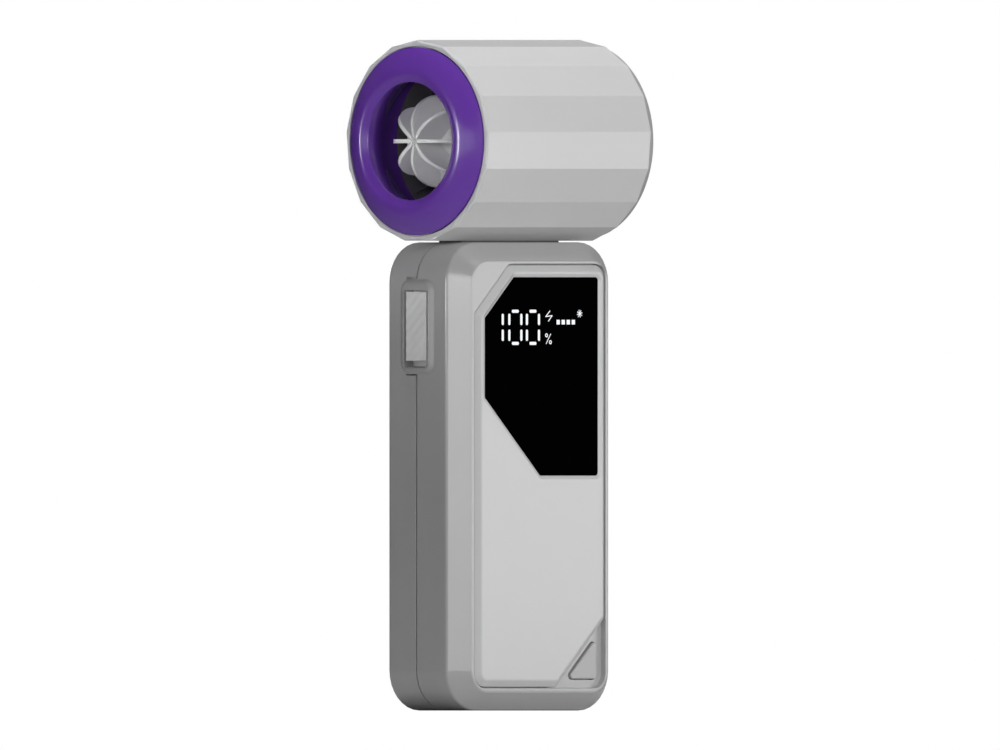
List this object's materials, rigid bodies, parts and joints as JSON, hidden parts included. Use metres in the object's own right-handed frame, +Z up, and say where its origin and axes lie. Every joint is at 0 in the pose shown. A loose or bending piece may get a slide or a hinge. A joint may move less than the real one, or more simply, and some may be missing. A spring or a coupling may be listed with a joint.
{
  "type": "handheld fan",
  "caption": "Pocket turbo fan: a flat battery handle with a lit display and slide switch carries a faceted barrel with a flared nozzle and a finned spinner.",
  "frame": {"origin": "centre of the flat foot under the handle", "axes": "+Z up the handle, -Y out of the display side, -X out of the nozzle along the barrel's axis"},
  "size_m": [0.0573, 0.0458, 0.1523],
  "materials": {
    "shell_grey": "fine moulded texture, satin",
    "shell_grey_rear": "fine moulded texture, satin",
    "panel_grey": "fine moulded texture, satin",
    "button_grey": "satin",
    "display_black": "polished smoked window",
    "display_white": "lit",
    "module_white": "plain",
    "collar_grey": "satin",
    "knob_silver": "silver grey, grooved",
    "black_plastic": "satin black",
    "neck_grey": "satin",
    "steel": "plated",
    "board_green": "solder mask",
    "chip_black": "moulded epoxy",
    "ferrite": "matt",
    "cell_wrap": "shrink-wrapped cell",
    "nickel": "bright",
    "lead_red": "insulated wire",
    "lead_black": "insulated wire",
    "foam_black": "foam",
    "damper_rubber": "soft rubber",
    "nozzle_purple": "glossy",
    "duct_black": "satin black",
    "grille_grey": "satin",
    "lamination_steel": "stacked laminations",
    "copper": "enamelled wire",
    "can_steel": "turned",
    "magnet": "sintered",
    "spinner_grey": "satin",
    "impeller_black": "satin black"
  },
  "bodies": {
    "root": {"front_shell": "shell_grey", "rear_shell": "shell_grey_rear", "front_plate": "panel_grey", "display_glass": "display_black", "display_segments": "display_white", "display_module": "module_white", "tact_switch": "steel", "switch_collar": "collar_grey", "switch_body": "black_plastic", "neck_block": "neck_grey", "neck_screws": "steel", "case_screws": "steel", "main_board": "board_green", "board_screws": "steel", "controller_chips": "chip_black", "power_inductor": "ferrite", "usb_shell": "steel", "usb_tongue": "black_plastic", "battery_cells": "cell_wrap", "cell_holder": "black_plastic", "nickel_strips": "nickel", "battery_leads": "lead_red", "foam_pads": "foam_black", "head_shell": "panel_grey", "nozzle_ring": "nozzle_purple", "duct_sleeve": "duct_black", "front_damper": "damper_rubber", "rear_damper": "damper_rubber", "rear_grille": "grille_grey", "grille_screws": "steel", "tail_cover": "duct_black", "front_bearing": "steel", "rear_bearing": "steel", "stator_core": "lamination_steel", "stator_windings": "copper", "driver_board": "board_green", "motor_leads": "lead_black"},
    "rotor": {"spinner": "spinner_grey", "impeller": "impeller_black", "rotor_can": "can_steel", "rotor_magnets": "magnet", "motor_shaft": "steel", "shaft_clip": "steel"},
    "slide_knob": {"switch_knob": "knob_silver"},
    "mode_key": {"mode_button": "button_grey"}
  },
  "joints": [
    {"name": "rotor_spin", "type": "hinge", "parent": "root", "child": "rotor", "pos_m": [0, 0, 0.12925], "axis": [1, 0, 0], "continuous": true},
    {"name": "switch_slide", "type": "slide", "parent": "root", "child": "slide_knob", "axis": [0, 0, 1], "range_m": [-0.0014, 0]},
    {"name": "mode_press", "type": "slide", "parent": "root", "child": "mode_key", "axis": [0, 1, 0], "range_m": [0, 0.0004], "stiffness_N_per_m": 300}
  ]
}
